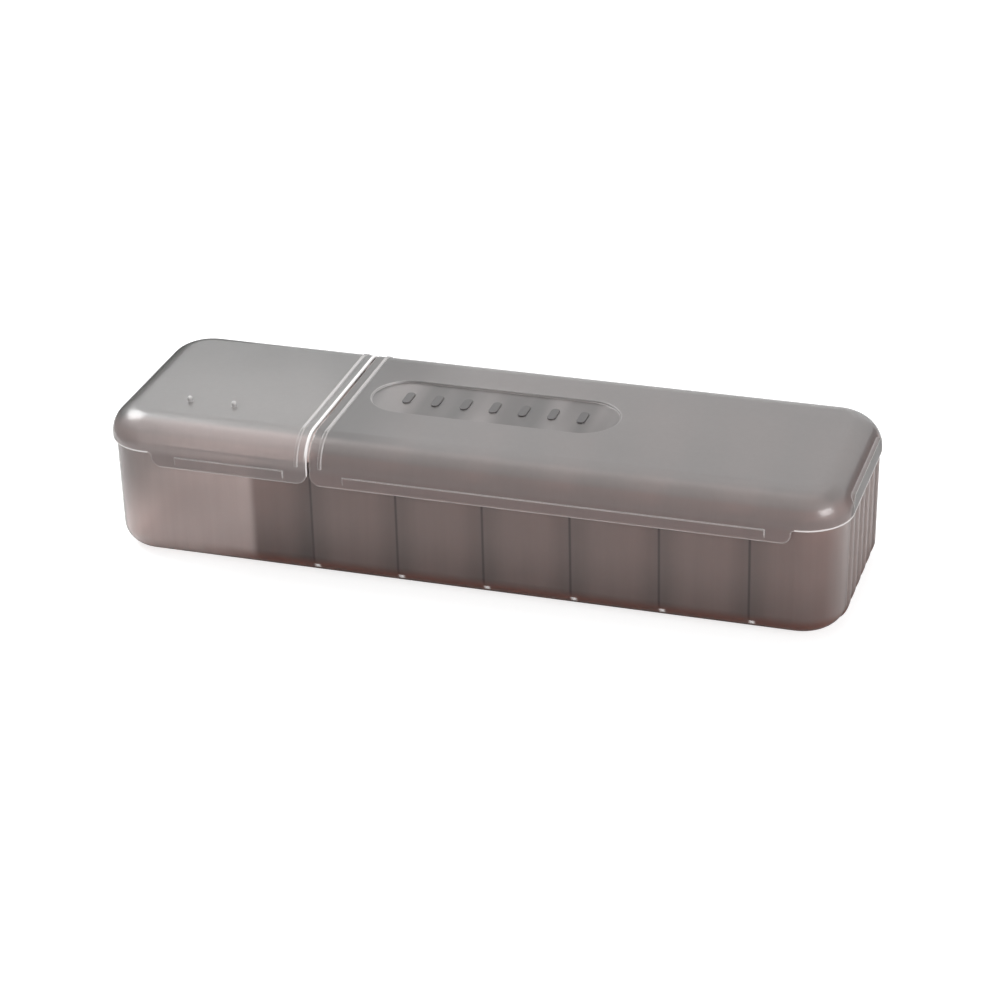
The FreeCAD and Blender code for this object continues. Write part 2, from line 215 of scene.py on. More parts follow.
# %% Noise and bump
def stretched(tree, where, scale, turn=0.0):
    """The place scaled and turned about Z. A scale below 1 stretches the pattern that is drawn on it."""
    node = make_node(tree, "ShaderNodeMapping", {"Scale": scale, "Rotation": (0.0, 0.0, turn)})
    tree.links.new(where, node.inputs["Vector"])
    return node.outputs["Vector"]


def noise(tree, where, settings):
    """Soft random spots, as a number about 0.5."""
    node = make_node(tree, "ShaderNodeTexNoise", settings)
    tree.links.new(where, node.inputs["Vector"])
    return node.outputs["Fac"]


def bumped(tree, pattern, normal, strength, height):
    """The normal, bent as if the pattern stood out by a height."""
    node = make_node(tree, "ShaderNodeBump", {"Strength": strength, "Distance": height})
    tree.links.new(pattern, node.inputs["Height"])
    tree.links.new(normal, node.inputs["Normal"])
    return node.outputs["Normal"]


print("pattern helpers:", stretched.__name__, noise.__name__, bumped.__name__)

# %% [markdown]
# Plastic cools unevenly, so its reflections bend in long faint waves, and the mould leaves fine upright
# draw marks. Both are too shallow to be worth faces, so they are bump. The noise of the draw marks is
# stretched along Z, which turns its spots into streaks.

# %% Waves and draw marks
WAVE_NOISE = {"Scale": 28.0, "Detail": 2.0, "Roughness": 0.4}
WAVE_STRENGTH = 0.6
WAVE_HEIGHT = 0.05 * MM
MARK_NOISE = {"Scale": 420.0, "Detail": 3.0, "Roughness": 0.6}
MARK_STRETCH = (1.0, 1.0, 0.04)
MARK_HEIGHT = 0.02 * MM


def moulded_surface(tree, where, normal, mark_strength):
    """The normal bent by waves and marks, and the pattern of the marks."""
    waves = noise(tree, where, WAVE_NOISE)
    marks = noise(tree, stretched(tree, where, MARK_STRETCH), MARK_NOISE)
    normal = bumped(tree, waves, normal, WAVE_STRENGTH, WAVE_HEIGHT)
    return bumped(tree, marks, normal, mark_strength, MARK_HEIGHT), marks


print("waves and draw marks in mm:", WAVE_HEIGHT / MM, MARK_HEIGHT / MM)


# %% [markdown]
# The colour changes from place to place, mostly by painted light and shade. Where only its brightness
# changes, both shades could be picked by eye, but one tint times a factor keeps the hue. A Mix node then
# blends from one to the other by a mask.

# %% Blends of colours
def toned(colour, factor):
    """A plain colour made darker, or paler where the factor is above 1."""
    return tuple(factor * channel for channel in colour)


def blend_colours(tree, share, first, second):
    """A colour between two others. Each is a plain colour or an output of another node."""
    node = make_node(tree, "ShaderNodeMix", data_type="RGBA")
    tree.links.new(share, node.inputs["Factor"])
    for socket, colour in ((node.inputs[6], first), (node.inputs[7], second)):
        if isinstance(colour, tuple):
            socket.default_value = (*colour, 1.0)
        else:
            tree.links.new(colour, socket)
    return node.outputs[2]


print("half as bright as (0.8, 0.6, 0.6) is", toned((0.8, 0.6, 0.6), 0.5))

# %% [markdown]
# The colour of a wall is its tint, darker at a flat slant and a little darker in the draw marks. A picture
# could hold all of it, but it would have to fit each piece. A function can give the tint of any place,
# because the painted light and shade of the tray and the lids change from place to place, while a pin has one
# tint all over.

# %% Smoky colour
DARK_TONE = 0.25
MARK_SPAN = (0.35, 0.75)


def smoky_colour(tree, where, tint, tinted, marks, marked):
    """The tint of a place, darker at a flat slant and in the draw marks."""
    dark = toned(tint, DARK_TONE)
    colour = tinted(tree, where, tint) if tinted else tint
    colour = blend_colours(tree, slant(tree), colour, dark)
    return blend_colours(tree, spread_over(tree, marks, MARK_SPAN, 0.0, marked), colour, dark)


print("a flat slant darkens the tint to", DARK_TONE, "of itself")

# %% [markdown]
# Frosted plastic has a satin gloss, which blurs a mirrored lamp a little more here and a little less
# there. One roughness all over would look too clean. Soft clouds vary it by a small grain instead, and a
# polished place, where there is one, gets a lower roughness.

# %% Satin gloss
CLOUD_NOISE = {"Scale": 45.0, "Detail": 3.0, "Roughness": 0.55}
CLOUD_SPAN = (0.3, 0.7)
GRAIN = 0.04
POLISHED_ROUGHNESS = 0.29


def blend_numbers(tree, share, first, second):
    """A number between an output of another node and a plain number."""
    node = make_node(tree, "ShaderNodeMix", {3: second}, data_type="FLOAT")
    tree.links.new(share, node.inputs["Factor"])
    tree.links.new(first, node.inputs[2])
    return node.outputs[0]


def satin_gloss(tree, where, roughness, polished):
    """A roughness that varies softly about its middle, and is lower where the skin is polished."""
    cloud = noise(tree, where, CLOUD_NOISE)
    gloss = spread_over(tree, cloud, CLOUD_SPAN, roughness - GRAIN, roughness + GRAIN)
    if polished:
        gloss = blend_numbers(tree, polished(tree, where), gloss, POLISHED_ROUGHNESS)
    return gloss


print("roughness varies by", GRAIN, "and is", POLISHED_ROUGHNESS, "where the skin is polished")

# %% [markdown]
# Clear plastic lets light through, bends it a little and spreads it, because its skin is finely frosted. A
# mix of glass and paint shaders could fake that. The Principled shader does it with Transmission alone: the
# base colour tints the light at each wall that it crosses, so one wall is pale, and two or three walls behind
# each other turn into the deep smoky brown of the bays. A thin coat gives the gloss on top. The last four
# arguments are functions that answer for a place: its tint with its painted light and shade, how polished and
# how dull it is, and where it gets a painted highlight. There the base colour turns to the painted edge tint,
# and less light goes through.

# %% Smoky plastic
# The pale edge tint is a painted highlight. Less light goes through there, so the paint shows.
EDGE_HIGHLIGHT = (0.97, 0.94, 0.93)
EDGE_CLEARNESS = 0.1
PLASTIC_IOR = 1.49
COAT = 0.4
COAT_IOR = 1.5
FULL_SPAN = (0.0, 1.0)


def smoky_plastic(name, tint, roughness, clearness, marked=0.06, coat_roughness=0.08, painted_edge_tint=EDGE_HIGHLIGHT,
                  tinted=None, polished=None, dulled=None, raised=None):
    """Frosted clear plastic, which may be coloured, polished and dulled by place, with painted highlights and
    painted shade.
    """
    material, tree, output = fresh_material(name)
    link = tree.links.new
    where = make_node(tree, "ShaderNodeTexCoord").outputs["Object"]
    rounded, edges = edge_finder(tree)
    # raised gives where the painted highlights lie, in place of the plain edges.
    if raised:
        edges = raised(tree, where, edges)
    normal, marks = moulded_surface(tree, where, rounded, marked)
    body = make_node(tree, "ShaderNodeBsdfPrincipled", {
        "IOR": PLASTIC_IOR,
        "Coat Weight": COAT,
        "Coat Roughness": coat_roughness,
        "Coat IOR": COAT_IOR,
    })
    colour = smoky_colour(tree, where, tint, tinted, marks, marked)
    # Painted highlight: the highlight places get the painted edge tint, which is dark on the dividers.
    link(blend_colours(tree, edges, colour, painted_edge_tint), body.inputs["Base Color"])
    link(spread_over(tree, edges, FULL_SPAN, clearness, EDGE_CLEARNESS), body.inputs["Transmission Weight"])
    link(satin_gloss(tree, where, roughness, polished), body.inputs["Roughness"])
    if dulled:
        link(spread_over(tree, dulled(tree, where), FULL_SPAN, COAT, 0.0), body.inputs["Coat Weight"])
    link(normal, body.inputs["Normal"])
    link(body.outputs["BSDF"], output.inputs["Surface"])
    return material


print("the plastic bends light by", PLASTIC_IOR, "and its coat by", COAT_IOR)


# %% [markdown]
# Some finishes need several masks at once, such as a strip that is both low and at a corner. A picture for
# each would be one way, but masks are numbers and can be joined as such: they are multiplied where all of
# them have to hold, and the largest is taken where one is enough.

# %% Joined masks
def combine(tree, operation, first, *others):
    """A sum, product or choice of an output and of others, which may be plain numbers."""
    for other in others:
        node = make_node(tree, "ShaderNodeMath", operation=operation)
        tree.links.new(first, node.inputs[0])
        if isinstance(other, float):
            node.inputs[1].default_value = other
        else:
            tree.links.new(other, node.inputs[1])
        first = node.outputs["Value"]
    return first


def all_of(tree, *masks):
    """1 where every mask is 1. A plain number among them weakens the rest."""
    return combine(tree, "MULTIPLY", *masks)


def any_of(tree, *masks):
    """1 where any mask is 1."""
    return combine(tree, "MAXIMUM", *masks)


def coordinates(tree, where):
    """The X, Y and Z of a place, each as an output of its own."""
    split = make_node(tree, "ShaderNodeSeparateXYZ")
    tree.links.new(where, split.inputs["Vector"])
    return split.outputs["X"], split.outputs["Y"], split.outputs["Z"]


print("mask helpers:", combine.__name__, all_of.__name__, any_of.__name__)

# %% [markdown]
# The tray is one plastic, and light and shade are painted into its tint. It is painted pale at its left end,
# which has little behind it, and painted darker in front of the rest of the long bay, beside the dividers and
# low down. The thick rolled foot is painted a dark red-brown with a painted glow at its lowest edge, for
# light that travels along it. Each divider shows as a painted dark line through the wall. One material blends
# all these tints, because a material for each zone would leave hard borders.

# %% Tints and spans of the tray
TRAY_TINT = (0.555, 0.405, 0.375)
# Painted light: the left end's tint is pale where little stands behind the wall.
PAINTED_LIGHT_LEFT_TINT = (0.92, 0.80, 0.77)
# The right end wall is painted paler and greyer, as a painted reflection.
END_WALL_REFLECTION_TINT = (0.60, 0.50, 0.475)
# The foot's dark red-brown is painted shade, reddened as by light travelling along it. Its lowest edge gets a
# painted glow.
FOOT_SHADE_TINT = (0.36, 0.13, 0.09)
PAINTED_FOOT_GLOW_TINT = (0.75, 0.32, 0.24)
# A painted dark line where each divider meets the wall, as painted shade.
DIVIDER_SHADE_LINE_TINT = (0.13, 0.08, 0.075)
BLACK_TINT = (0.0, 0.0, 0.0)

PAINTED_LIGHT_LEFT_SPAN = (divider_low.x - 20.0 * MM, divider_low.x - 23.5 * MM)
LONG_BAY_SPAN = (first_divider + 1.0 * MM, first_divider - 1.0 * MM)
LEFT_END_SPAN = (first_divider - 20.0 * MM, tray_low.x + 8.0 * MM)
RIGHT_END_SPAN = (tray_high.x - 8.0 * MM, tray_high.x - 2.0 * MM)
PAST_LONG_BAY_SPAN = (first_divider - 3.0 * MM, first_divider - 2.0 * MM)
LAST_LINE_SPAN = (last_divider + 3.0 * MM, last_divider + 2.0 * MM)
LAST_SHADE_SPAN = (last_divider + 15.0 * MM, last_divider + 12.0 * MM)
DIVIDER_SHADE_SPAN = (10.0 * MM, 2.0 * MM)
DIVIDER_SHADE_LINE_SPAN = (0.65 * MM, 0.2 * MM)
UPPER_WALL_SPAN = (10.0 * MM, 31.0 * MM)
LOW_WALL_SPAN = (26.0 * MM, 8.0 * MM)
FOOT_SPAN = (8.0 * MM, 3.5 * MM)
PAINTED_FOOT_GLOW_SPAN = (2.2 * MM, 0.6 * MM)
FOOT_FADE_SPAN = (first_divider - 45.0 * MM, first_divider - 15.0 * MM)
print("dividers stand", round(divider_pitch / MM, 2), "mm apart")

# %% [markdown]
# Two measures are needed before the tray can be tinted. The dividers repeat, so a ping-pong of X gives the
# distance to the nearest one, and one ramp then paints all six dark divider lines and their shade. The rolled
# foot is found by its height, and it fades below the long bay, where it is paler too.

# %% Dividers and foot
FOOT_LEAST = 0.15


def beside(tree, x, start):
    """How far a place is from the nearest of the evenly spaced dividers, or of what repeats with them."""
    return combine(tree, "PINGPONG", combine(tree, "SUBTRACT", x, start), divider_pitch / 2)


def foot_area(tree, where):
    """1 in the rolled foot of the tray, and less below the long bay, where it is paler too."""
    x, _, z = coordinates(tree, where)
    low = ramp_between(tree, z, *FOOT_SPAN)
    return all_of(tree, low, spread_over(tree, x, FOOT_FADE_SPAN, FOOT_LEAST, 1.0))


print("the foot starts", round(FOOT_SPAN[0] / MM, 1), "mm above the floor")

# %% [markdown]
# Now the tints are laid over each other in the order of the wall: first the wall and its painted shades, then
# the painted divider lines, the right end with its painted reflection, and last the foot with its painted
# glow at the lowest edge. The shades of the wall are added up before they are used, so a place that is both
# low and beside a divider gets darker than either.

# %% Tray tint
LONG_BAY_SHADE = 0.25
DIVIDER_SHADE = 0.22
LOW_WALL_SHADE = 0.18
LEFT_CORNER_SHADE_TONE = 0.55
DIVIDER_SHADE_LINE_SHARE = 0.9


def wall_shade(tree, x, z, off_divider):
    """How much painted shade the wall gets in front of the long bay, beside the dividers and low down."""
    beside_divider = ramp_between(tree, off_divider, *DIVIDER_SHADE_SPAN)
    before_end = ramp_between(tree, x, *LAST_SHADE_SPAN)
    return combine(
        tree, "ADD",
        all_of(tree, ramp_between(tree, x, *LONG_BAY_SPAN), LONG_BAY_SHADE),
        all_of(tree, beside_divider, before_end, DIVIDER_SHADE),
        all_of(tree, ramp_between(tree, z, *LOW_WALL_SPAN), LOW_WALL_SHADE))


def tray_tint(tree, where, tint):
    """The tray's tint with its painted light and shade, from the wall down to the painted glow at the lower
    edge of the foot.
    """
    x, _, z = coordinates(tree, where)
    off_divider = beside(tree, x, first_divider)
    wall = blend_colours(tree, wall_shade(tree, x, z, off_divider), tint, BLACK_TINT)
    # Painted shade high on the left end, under the lid.
    left_corner_shade = all_of(tree, ramp_between(tree, z, *UPPER_WALL_SPAN), ramp_between(tree, x, *LEFT_END_SPAN))
    painted_light_left = blend_colours(tree, left_corner_shade, PAINTED_LIGHT_LEFT_TINT, toned(PAINTED_LIGHT_LEFT_TINT, LEFT_CORNER_SHADE_TONE))
    wall = blend_colours(tree, ramp_between(tree, x, *PAINTED_LIGHT_LEFT_SPAN), wall, painted_light_left)
    # Painted shade line for each divider seen through the wall.
    divider_shade_line = all_of(
        tree,
        ramp_between(tree, off_divider, *DIVIDER_SHADE_LINE_SPAN),
        ramp_between(tree, x, *PAST_LONG_BAY_SPAN),
        ramp_between(tree, x, *LAST_LINE_SPAN),
        DIVIDER_SHADE_LINE_SHARE)
    wall = blend_colours(tree, divider_shade_line, wall, DIVIDER_SHADE_LINE_TINT)
    # Painted reflection on the right end wall.
    wall = blend_colours(tree, ramp_between(tree, x, *RIGHT_END_SPAN), wall, END_WALL_REFLECTION_TINT)
    # Painted shade on the foot, then a painted glow along its lowest edge.
    wall = blend_colours(tree, foot_area(tree, where), wall, FOOT_SHADE_TINT)
    return blend_colours(tree, ramp_between(tree, z, *PAINTED_FOOT_GLOW_SPAN), wall, PAINTED_FOOT_GLOW_TINT)


print("wall tint", TRAY_TINT, "and foot tint", FOOT_SHADE_TINT)

# %% [markdown]
# On the tray only some places get a painted highlight: the edges of the grip ribs at the two ends, and the
# small pips low on the walls beside each divider. The guide ribs inside keep the wall's own tint, or they
# would show as white stripes. The pips could be a second material on their faces, but a mask needs no cutting
# of the mesh.

# %% Painted highlights of the tray
RIB_SPAN = (tray_high.x - 3.0 * MM, tray_high.x - 1.5 * MM)
# Share of painted highlight on the rib edges.
RIB_HIGHLIGHT = 0.5
PIP_SHIFT = 0.9 * MM
PIP_DEPTH = 38.0 * MM
PIP_WIDTH_SPAN = (1.7 * MM, 0.4 * MM)
PIP_DEPTH_SPAN = (PIP_DEPTH - 0.15 * MM, PIP_DEPTH)
PIP_TOP_SPAN = (5.0 * MM, 4.4 * MM)
PIP_FOOT_SPAN = (2.4 * MM, 3.0 * MM)


def tray_highlights(tree, where, edges):
    """Painted highlights on the edges of the end ribs and on the pips."""
    x, y, z = coordinates(tree, where)
    from_middle = combine(tree, "ABSOLUTE", x, 0.0)
    ribs = all_of(tree, edges, ramp_between(tree, from_middle, *RIB_SPAN), RIB_HIGHLIGHT)
    pips = all_of(
        tree,
        ramp_between(tree, beside(tree, x, first_divider + PIP_SHIFT), *PIP_WIDTH_SPAN),
        ramp_between(tree, x, *PAST_LONG_BAY_SPAN),
        ramp_between(tree, combine(tree, "ABSOLUTE", y, 0.0), *PIP_DEPTH_SPAN),
        ramp_between(tree, z, *PIP_TOP_SPAN),
        ramp_between(tree, z, *PIP_FOOT_SPAN))
    return any_of(tree, ribs, pips)


print("light pips stand", round(PIP_DEPTH / MM, 1), "mm from the middle")

# %% [markdown]
# Both lids are painted grey on their flat tops, as a painted reflection of the surround, and warmer on their
# rolled sides. The front gets a painted highlight where it starts to roll down, and the snap flap a painted
# shade of its own, because the tray's wall stands right behind it. One function serves both lids, so they
# change tint at the same heights.

# %% Lid tints
# The grey top tints stand for a painted reflection of the surround. The shoulder tints are painted
# highlights, and the flap tints painted shade.
SHORT_LID_TINT = (0.39, 0.385, 0.38)
SHORT_SHOULDER_HIGHLIGHT_TINT = (0.66, 0.60, 0.59)
SHORT_LID_SIDE_TINT = (0.645, 0.57, 0.555)
SHORT_FLAP_SHADE_TINT = (0.46, 0.385, 0.375)
LONG_LID_TINT = (0.385, 0.365, 0.36)
LONG_SHOULDER_HIGHLIGHT_TINT = (0.49, 0.45, 0.44)
LONG_LID_SIDE_TINT = (0.48, 0.39, 0.375)
LONG_FLAP_SHADE_TINT = (0.47, 0.355, 0.34)

ROLL_SPAN = (lid_top - 2.6 * MM, lid_top - 6.0 * MM)
SHOULDER_TOP_SPAN = (lid_top - 0.4 * MM, lid_top - 1.6 * MM)
SHOULDER_FOOT_SPAN = (lid_top - 6.0 * MM, lid_top - 3.6 * MM)
SHOULDER_FRONT_SPAN = (-32.0 * MM, -36.0 * MM)
FLAP_SPAN = (skirt_edge + 2.0 * MM, skirt_edge - 1.0 * MM)


def lid_tint(tree, where, top, shoulder_highlight_tint, side, flap):
    """The lid's grey top, a painted reflection, its side, the painted highlight where the front starts to
    roll down, and the flap's painted shade.
    """
    _, y, z = coordinates(tree, where)
    colour = blend_colours(tree, ramp_between(tree, z, *ROLL_SPAN), top, side)
    # Painted highlight where the front starts to roll down.
    shoulder = all_of(
        tree,
        ramp_between(tree, z, *SHOULDER_TOP_SPAN),
        ramp_between(tree, z, *SHOULDER_FOOT_SPAN),
        ramp_between(tree, y, *SHOULDER_FRONT_SPAN))
    colour = blend_colours(tree, shoulder, colour, shoulder_highlight_tint)
    # Painted shade on the flap.
    return blend_colours(tree, ramp_between(tree, z, *FLAP_SPAN), colour, flap)


print("from top tint to side tint in mm:", [round(z / MM, 2) for z in ROLL_SPAN])

# %% [markdown]
# The lids get painted highlights in more places than their edges: on the raised beads beside the seam and on
# the rest pips. A painted glow lies on the lowest strip of the skirt at the corners and of the flaps, where
# light leaves the wall after running down in it. Each lies at a height of its own, so a ramp over Z finds it.

# %% Painted highlights of both lids
SMALL_FLAP_START = short_lid_low.x + 20.2 * MM
LARGE_FLAP_END = long_lid_high.x - 18.1 * MM
LEFT_CORNER_SPAN = (SMALL_FLAP_START - 1.0 * MM, SMALL_FLAP_START - 1.3 * MM)
RIGHT_CORNER_SPAN = (LARGE_FLAP_END + 1.0 * MM, LARGE_FLAP_END + 1.3 * MM)
BEAD_SPAN = (lid_top + 0.05 * MM, lid_top + 0.4 * MM)
REST_PIP_SPAN = (lid_top + 0.6 * MM, lid_top + 1.2 * MM)
SKIRT_STRIP_SPAN = (skirt_edge + 0.8 * MM, skirt_edge + 0.6 * MM)
FLAP_STRIP_SPAN = (flap_edge + 0.6 * MM, flap_edge + 0.45 * MM)
# Shares of painted highlight and, on the strips, of painted glow.
LID_EDGE_HIGHLIGHT = 0.8
BEAD_HIGHLIGHT = 0.5
REST_PIP_HIGHLIGHT = 0.65
SKIRT_STRIP_GLOW = 0.85
FLAP_STRIP_GLOW = 0.3


def lid_highlights(tree, where, edges):
    """Painted highlights on the found edges and the raised parts on the top, and a painted glow on the lowest
    strip of the skirt and the flaps.
    """
    x, _, z = coordinates(tree, where)
    corner = any_of(tree, ramp_between(tree, x, *LEFT_CORNER_SPAN), ramp_between(tree, x, *RIGHT_CORNER_SPAN))
    return any_of(
        tree,
        all_of(tree, edges, LID_EDGE_HIGHLIGHT),
        all_of(tree, ramp_between(tree, z, *BEAD_SPAN), BEAD_HIGHLIGHT),
        all_of(tree, ramp_between(tree, z, *REST_PIP_SPAN), REST_PIP_HIGHLIGHT),
        all_of(tree, ramp_between(tree, z, *SKIRT_STRIP_SPAN), corner, SKIRT_STRIP_GLOW),
        all_of(tree, ramp_between(tree, z, *FLAP_STRIP_SPAN), FLAP_STRIP_GLOW))


print("flaps start and end at x in mm:", [round(x / MM, 2) for x in (SMALL_FLAP_START, LARGE_FLAP_END)])

# %% [markdown]
# The short lid gets a painted shade towards its hinge. Its cut edge at the seam gets a painted glow, the
# brightest line of the whole box, for light that runs along the lid and leaves it there. The edge finder
# alone would draw this line too thin, so a ramp over X draws it, wider on the top than on the side.

# %% Short lid
# Painted shade towards the hinge, then the painted glow of the cut edge.
BACK_SHADE_SPAN = (-15.0 * MM, 35.0 * MM)
BACK_SHADE_TONE = 0.75
CUT_EDGE_GLOW_SPAN = (short_lid_high.x - 0.45 * MM, short_lid_high.x - 0.25 * MM)
WIDE_CUT_GLOW_SPAN = (short_lid_high.x - 1.15 * MM, short_lid_high.x - 0.95 * MM)
UPPER_CUT_SPAN = (lid_top - 9.0 * MM, lid_top - 6.0 * MM)


def short_lid_tint(tree, where, tint):
    """Grey on top, a painted reflection, with painted shade towards the hinge; warm and pale on the sides."""
    _, y, _ = coordinates(tree, where)
    top = blend_colours(tree, ramp_between(tree, y, *BACK_SHADE_SPAN), tint, toned(tint, BACK_SHADE_TONE))
    return lid_tint(tree, where, top, SHORT_SHOULDER_HIGHLIGHT_TINT, SHORT_LID_SIDE_TINT, SHORT_FLAP_SHADE_TINT)


def short_lid_highlights(tree, where, edges):
    """The painted highlights of a lid, and the painted glow of the cut edge at the seam, which is wider on
    the top.
    """
    x, _, z = coordinates(tree, where)
    cut = ramp_between(tree, x, *CUT_EDGE_GLOW_SPAN)
    wide_cut = all_of(tree, ramp_between(tree, x, *WIDE_CUT_GLOW_SPAN), ramp_between(tree, z, *UPPER_CUT_SPAN))
    return any_of(tree, lid_highlights(tree, where, edges), cut, wide_cut)


print("the cut edge lies at x =", round(short_lid_high.x / MM, 2), "mm")

# %% [markdown]
# The long lid has a sunk place for a label, a long shape with two round ends. A painted mask could mark
# it, but the distance to its middle line finds it exactly: up to half of its depth a place is inside.

# %% Label place
LABEL_BEHIND_MIDDLE = 2.6 * MM
LABEL_LENGTH = 91.6 * MM
LABEL_DEPTH = 26.8 * MM
LABEL_SINK = 0.8 * MM
LABEL_RADIUS = LABEL_DEPTH / 2
LABEL_SPAN = (LABEL_RADIUS - 0.3 * MM, LABEL_RADIUS - 0.7 * MM)


def label_reach(tree, where):
    """How far a place is from the middle line of the label place."""
    x, y, _ = coordinates(tree, where)
    past_line = combine(tree, "SUBTRACT", combine(tree, "ABSOLUTE", x, 0.0), LABEL_LENGTH / 2 - LABEL_RADIUS)
    reach = make_node(tree, "ShaderNodeCombineXYZ")
    tree.links.new(combine(tree, "MAXIMUM", past_line, 0.0), reach.inputs["X"])
    tree.links.new(combine(tree, "SUBTRACT", y, LABEL_BEHIND_MIDDLE), reach.inputs["Y"])
    length = make_node(tree, "ShaderNodeVectorMath", operation="LENGTH")
    tree.links.new(reach.outputs["Vector"], length.inputs[0])
    return length.outputs["Value"]


def label_area(tree, where):
    """1 inside the sunk label place."""
    return ramp_between(tree, label_reach(tree, where), *LABEL_SPAN)


print("label place in mm:", round(LABEL_LENGTH / MM, 2), "by", round(LABEL_DEPTH / MM, 2))

# %% [markdown]
# The round ends of the label place's rim get a painted highlight, the left one most. The edge finder alone
# would outline the whole place in white, so the rim has a mask of its own: the same distance to the middle
# line, kept to the two ends and to the height of the lid's top.

# %% Label rim
RIM_INNER_SPAN = (LABEL_RADIUS - 0.45 * MM, LABEL_RADIUS - 0.15 * MM)
RIM_OUTER_SPAN = (LABEL_RADIUS + 0.45 * MM, LABEL_RADIUS + 0.15 * MM)
RIM_HEIGHT_SPAN = (lid_top - 2.0 * MM, lid_top - 1.0 * MM)
LEFT_RIM_SPAN = (-0.36 * LABEL_LENGTH, -0.46 * LABEL_LENGTH)
RIGHT_RIM_SPAN = (0.36 * LABEL_LENGTH, 0.46 * LABEL_LENGTH)
# Shares of painted highlight at the rim's two ends.
LEFT_RIM_HIGHLIGHT = 0.55
RIGHT_RIM_HIGHLIGHT = 0.15


def label_rim_highlight(tree, where):
    """A painted highlight on the two round ends of the rim, brighter on the left."""
    x, _, z = coordinates(tree, where)
    around = label_reach(tree, where)
    left = all_of(tree, ramp_between(tree, x, *LEFT_RIM_SPAN), LEFT_RIM_HIGHLIGHT)
    right = all_of(tree, ramp_between(tree, x, *RIGHT_RIM_SPAN), RIGHT_RIM_HIGHLIGHT)
    return all_of(
        tree,
        ramp_between(tree, around, *RIM_INNER_SPAN),
        ramp_between(tree, around, *RIM_OUTER_SPAN),
        combine(tree, "ADD", left, right),
        ramp_between(tree, z, *RIM_HEIGHT_SPAN))


print("the rim is pale by", LEFT_RIM_HIGHLIGHT, "at its left end and", RIGHT_RIM_HIGHLIGHT, "at its right end")

# %% [markdown]
# The upright flat at the outer end of the long lid is dull, with no coat, and painted dark, a painted shade
# with a tint of its own. A second material on its faces would do that too, but a mask needs no cutting of the
# mesh.

# %% End flat
# Painted shade: the dark tint of the end flat.
END_FLAT_SHADE_TINT = (0.135, 0.10, 0.09)
END_FLAT_SPAN = (long_lid_high.x - 0.5 * MM, long_lid_high.x - 0.2 * MM)
ABOVE_SKIRT_SPAN = (skirt_edge, skirt_edge + 1.0 * MM)


def end_flat_area(tree, where):
    """1 on the upright flat at the outer end of the long lid."""
    x, _, z = coordinates(tree, where)
    return all_of(tree, ramp_between(tree, x, *END_FLAT_SPAN), ramp_between(tree, z, *ABOVE_SKIRT_SPAN))


print("the end flat lies at x =", round(long_lid_high.x / MM, 2), "mm")

# %% [markdown]
# The polished label place shows soft slanting bands, as a smooth sunk skin does. Real reflections would
# need a surround with things in it, so the bands are stretched noise, and the white surround stays plain.

# %% Label bands
BAND_STRETCH = (1.0, 0.12, 0.0)
BAND_TURN = 0.35
BAND_NOISE = {"Scale": 60.0, "Detail": 1.5, "Roughness": 0.5}
BAND_SPAN = (0.35, 0.68)
DARK_BAND_TONE = 0.48
PALE_BAND_TONE = 1.32


def label_bands(tree, where, tint):
    """Soft slanting bands, darker and paler than the tint."""
    bands = noise(tree, stretched(tree, where, BAND_STRETCH, BAND_TURN), BAND_NOISE)
    pale = ramp_between(tree, bands, *BAND_SPAN)
    return blend_colours(tree, pale, toned(tint, DARK_BAND_TONE), toned(tint, PALE_BAND_TONE))


print("bands run from", DARK_BAND_TONE, "to", PALE_BAND_TONE, "times the tint")

# %% [markdown]
# The long lid gets a painted shade near the seam. Its tint is built as the short lid's is, and the end flat
# and the label place are laid over it last, because nothing else shows there. Inside the label place the
# painted highlights of the found edges are weakened, or white lines would outline it.

# %% Long lid
# Painted shade near the seam.
NEAR_SEAM_SHADE_SPAN = (long_lid_low.x + 45.0 * MM, long_lid_low.x + 5.0 * MM)
NEAR_SEAM_SHADE_TONE = 0.52
INSIDE_RIM_SPAN = (LABEL_RADIUS + 0.6 * MM, LABEL_RADIUS)
INSIDE_EDGE_LOSS = 0.6


def long_lid_tint(tree, where, tint):
    """Grey on top and warm on the sides, with painted shade near the seam and on the end flat, and the
    label's bands.
    """
    x, _, _ = coordinates(tree, where)
    top = blend_colours(tree, ramp_between(tree, x, *NEAR_SEAM_SHADE_SPAN), tint, toned(tint, NEAR_SEAM_SHADE_TONE))
    plain = lid_tint(tree, where, top, LONG_SHOULDER_HIGHLIGHT_TINT, LONG_LID_SIDE_TINT, LONG_FLAP_SHADE_TINT)
    plain = blend_colours(tree, end_flat_area(tree, where), plain, END_FLAT_SHADE_TINT)
    return blend_colours(tree, label_area(tree, where), plain, label_bands(tree, where, tint))


def long_lid_highlights(tree, where, edges):
    """The painted highlights of a lid, weaker inside the label place, and the painted highlight on the ends
    of the label's rim.
    """
    inside = ramp_between(tree, label_reach(tree, where), *INSIDE_RIM_SPAN)
    kept = spread_over(tree, inside, FULL_SPAN, 1.0, 1.0 - INSIDE_EDGE_LOSS)
    return any_of(tree, all_of(tree, lid_highlights(tree, where, edges), kept), label_rim_highlight(tree, where))


print("the lid darkens over the last", round((NEAR_SEAM_SHADE_SPAN[0] - long_lid_low.x) / MM, 1), "mm to the seam")

# %% [markdown]
# Now each finish can be made. Roughness and clearness stand beside the tint, and the functions above say what
# changes by place. The dividers get painted dark edges, a painted shade, because their edges face the walls
# and guide no light to the eye. The bars of the label place keep one dark tint, or they would look outlined.

# %% Materials of the pieces
DIVIDER_TINT = (0.32, 0.26, 0.25)
# Painted shade on the divider edges.
DIVIDER_EDGE_SHADE_TINT = (0.02, 0.02, 0.03)
PIN_TINT = (0.32, 0.28, 0.28)
BAR_TINT = (0.11, 0.10, 0.10)

